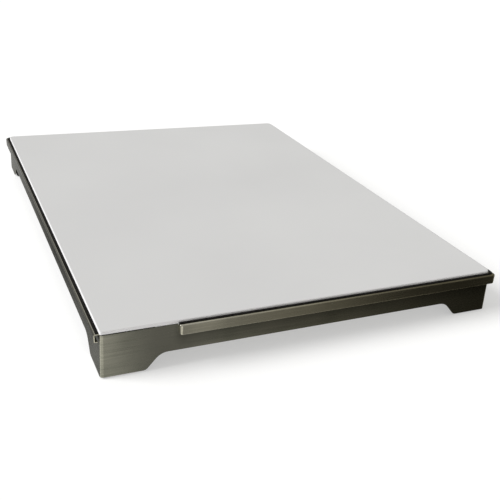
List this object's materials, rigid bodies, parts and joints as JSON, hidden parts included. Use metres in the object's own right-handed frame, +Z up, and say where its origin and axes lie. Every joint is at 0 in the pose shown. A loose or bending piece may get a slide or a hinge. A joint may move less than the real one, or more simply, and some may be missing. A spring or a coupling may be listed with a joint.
{
  "type": "animal weighing scale",
  "caption": "Low rectangular walk-on floor scale: a steel tray and pale mat on a skirted base with load cells and levelling feet, for weighing dogs.",
  "frame": {"origin": "on the floor under the middle of the platform", "axes": "+Z up, +Y along the long side; the front, with the cut-away corner of the tray, is at -Y"},
  "size_m": [0.72, 1, 0.08],
  "materials": {
    "brushed_steel": "brushed along the sheet",
    "tray_steel": "brushed along the flange",
    "frame_steel": "dark powder coat",
    "deck_steel": "grey powder coat",
    "load_cell_aluminium": "clear anodised",
    "zinc": "bright zinc plated",
    "foot_rubber": "moulded, matte",
    "pad_rubber": "moulded, matte",
    "gasket_rubber": "extruded, satin",
    "cable_jacket": "smooth jacket",
    "nylon_black": "moulded, satin",
    "box_plastic": "moulded, fine texture",
    "board": "solder mask",
    "terminal": "moulded",
    "mat": "smooth, fine matte"
  },
  "bodies": {
    "base": {"skirt_front": "brushed_steel", "skirt_rear": "brushed_steel", "skirt_left": "brushed_steel", "skirt_right": "brushed_steel", "side_rail_left": "frame_steel", "side_rail_right": "frame_steel", "end_rail_front": "frame_steel", "end_rail_rear": "frame_steel", "crossbar": "frame_steel", "corner_plate_front_left": "frame_steel", "corner_plate_front_right": "frame_steel", "corner_plate_rear_left": "frame_steel", "corner_plate_rear_right": "frame_steel", "load_cell_front_left": "load_cell_aluminium", "load_cell_front_right": "load_cell_aluminium", "load_cell_rear_left": "load_cell_aluminium", "load_cell_rear_right": "load_cell_aluminium", "cell_bolts": "zinc", "load_studs": "zinc", "overload_stops": "zinc", "foot_lock_nuts": "zinc", "cell_spacers": "zinc", "junction_box_screws": "zinc", "load_pads": "pad_rubber", "cell_cable_front_left": "cable_jacket", "cell_cable_front_right": "cable_jacket", "cell_cable_rear_left": "cable_jacket", "cell_cable_rear_right": "cable_jacket", "cable_clips": "nylon_black", "box_glands": "nylon_black", "cord_gland": "nylon_black", "gland_nut": "nylon_black", "junction_box": "box_plastic", "junction_box_lid": "box_plastic", "junction_board": "board", "terminal_blocks": "terminal"},
    "foot_block_front_left": {"foot_block_front_left": "foot_rubber"},
    "foot_stem_front_left": {"foot_stem_front_left": "zinc"},
    "foot_block_front_right": {"foot_block_front_right": "foot_rubber"},
    "foot_stem_front_right": {"foot_stem_front_right": "zinc"},
    "foot_block_rear_left": {"foot_block_rear_left": "foot_rubber"},
    "foot_stem_rear_left": {"foot_stem_rear_left": "zinc"},
    "foot_block_rear_right": {"foot_block_rear_right": "foot_rubber"},
    "foot_stem_rear_right": {"foot_stem_rear_right": "zinc"},
    "deck": {"deck_rail_left": "deck_steel", "deck_rail_right": "deck_steel", "deck_cross_front": "deck_steel", "deck_cross_middle": "deck_steel", "deck_cross_rear": "deck_steel", "load_cups": "zinc", "tray_rests": "nylon_black"},
    "tray": {"tray": "tray_steel", "edge_gasket": "gasket_rubber", "tray_stiffener_1": "deck_steel", "tray_stiffener_2": "deck_steel", "tray_stiffener_3": "deck_steel", "tray_stiffener_4": "deck_steel"},
    "mat": {"mat": "mat"}
  },
  "joints": [
    {"name": "weigh_travel", "type": "slide", "parent": "base", "child": "deck", "axis": [0, 0, 1], "range_m": [-0.001, 0], "stiffness_N_per_m": 1500000, "springref_m": 0.00021, "deforming": ["load_pads"]},
    {"name": "tray_lift", "type": "slide", "parent": "deck", "child": "tray", "axis": [0, 0, 1], "range_m": [0, 0.06]},
    {"name": "mat_lift", "type": "slide", "parent": "tray", "child": "mat", "axis": [0, 0, 1], "range_m": [0, 0.05]},
    {"name": "foot_front_left_height", "type": "slide", "parent": "base", "child": "foot_block_front_left", "axis": [0, 0, -1], "range_m": [-0.002, 0.006]},
    {"name": "foot_front_left_turn", "type": "hinge", "parent": "foot_block_front_left", "child": "foot_stem_front_left", "pos_m": [-0.326, -0.453, 0.02], "axis": [0, 0, -1], "range_deg": [-480, 1440]},
    {"name": "foot_front_right_height", "type": "slide", "parent": "base", "child": "foot_block_front_right", "axis": [0, 0, -1], "range_m": [-0.002, 0.006]},
    {"name": "foot_front_right_turn", "type": "hinge", "parent": "foot_block_front_right", "child": "foot_stem_front_right", "pos_m": [0.326, -0.453, 0.02], "axis": [0, 0, -1], "range_deg": [-480, 1440]},
    {"name": "foot_rear_left_height", "type": "slide", "parent": "base", "child": "foot_block_rear_left", "axis": [0, 0, -1], "range_m": [-0.002, 0.006]},
    {"name": "foot_rear_left_turn", "type": "hinge", "parent": "foot_block_rear_left", "child": "foot_stem_rear_left", "pos_m": [-0.326, 0.453, 0.02], "axis": [0, 0, -1], "range_deg": [-480, 1440]},
    {"name": "foot_rear_right_height", "type": "slide", "parent": "base", "child": "foot_block_rear_right", "axis": [0, 0, -1], "range_m": [-0.002, 0.006]},
    {"name": "foot_rear_right_turn", "type": "hinge", "parent": "foot_block_rear_right", "child": "foot_stem_rear_right", "pos_m": [0.326, 0.453, 0.02], "axis": [0, 0, -1], "range_deg": [-480, 1440]}
  ],
  "couplings": [
    {"joint": "foot_front_left_turn", "follows": "foot_front_left_height", "rad_per_m": 4188.8},
    {"joint": "foot_front_right_turn", "follows": "foot_front_right_height", "rad_per_m": 4188.8},
    {"joint": "foot_rear_left_turn", "follows": "foot_rear_left_height", "rad_per_m": 4188.8},
    {"joint": "foot_rear_right_turn", "follows": "foot_rear_right_height", "rad_per_m": 4188.8}
  ]
}
